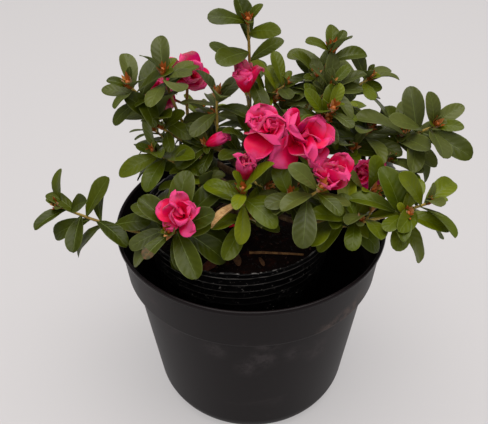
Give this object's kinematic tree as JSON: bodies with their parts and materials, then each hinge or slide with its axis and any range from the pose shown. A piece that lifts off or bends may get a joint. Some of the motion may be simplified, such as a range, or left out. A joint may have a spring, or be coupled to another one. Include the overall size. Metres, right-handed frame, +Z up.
{
  "type": "potted azalea shrub",
  "caption": "Small azalea shrub with open whorls of leaves and ruffled blossom, in a ridged nursery pot that stands inside a tapered patio pot.",
  "frame": {"origin": "centre of the outer pot's flat underside", "axes": "+Z up; the front, from which the picture looks, is -Y; +X to the right"},
  "size_m": [0.3172, 0.2377, 0.3302],
  "materials": {
    "outer_pot": "matte",
    "grow_pot": "satin",
    "peat": "matte",
    "bark": "matte",
    "petals": "matte",
    "leaves": "satin"
  },
  "bodies": {
    "root": {"outer_pot": "outer_pot", "grow_pot": "grow_pot", "root_ball": "peat", "trunk": "bark", "bough_left": "bark", "bough_front": "bark", "bough_back": "bark", "bough_right_low": "bark", "bough_front_left": "bark", "bough_back_left": "bark", "bough_front_right": "bark", "bough_back_right": "bark", "bough_left_mid": "bark", "bough_right": "bark", "bough_centre": "bark", "bough_left_high": "bark", "bough_middle": "bark", "bough_right_high": "bark", "bough_upper": "bark", "bough_top": "bark", "blossom_front_left": "petals", "blossom_front": "petals", "blossom_bud": "petals", "blossom_top": "petals", "blossom_left_high": "petals", "blossom_main": "petals", "blossom_right": "petals", "blossom_far_right": "petals", "blossom_back": "petals", "leaves_left_low": "leaves", "leaves_front": "leaves", "leaves_right_low": "leaves", "leaves_right_front": "leaves", "leaves_front_left": "leaves", "leaves_left_mid": "leaves", "leaves_front_right": "leaves", "leaves_right_mid": "leaves", "leaves_far_right": "leaves", "leaves_left_high": "leaves", "leaves_left_top": "leaves", "leaves_low_left": "leaves", "leaves_low_right": "leaves", "leaves_middle_low": "leaves", "leaves_middle": "leaves", "leaves_middle_left": "leaves", "leaves_upper_mid": "leaves", "leaves_right_high": "leaves", "leaves_right_upper": "leaves", "leaves_right_top": "leaves", "leaves_centre_back": "leaves", "leaves_top": "leaves", "leaves_back_left": "leaves", "leaves_back_left_high": "leaves", "leaves_back": "leaves", "leaves_back_right": "leaves", "leaves_back_right_high": "leaves", "leaves_left_inner": "leaves", "leaves_right_centre": "leaves", "leaves_right_under": "leaves", "leaves_right_inner": "leaves"}
  },
  "joints": []
}
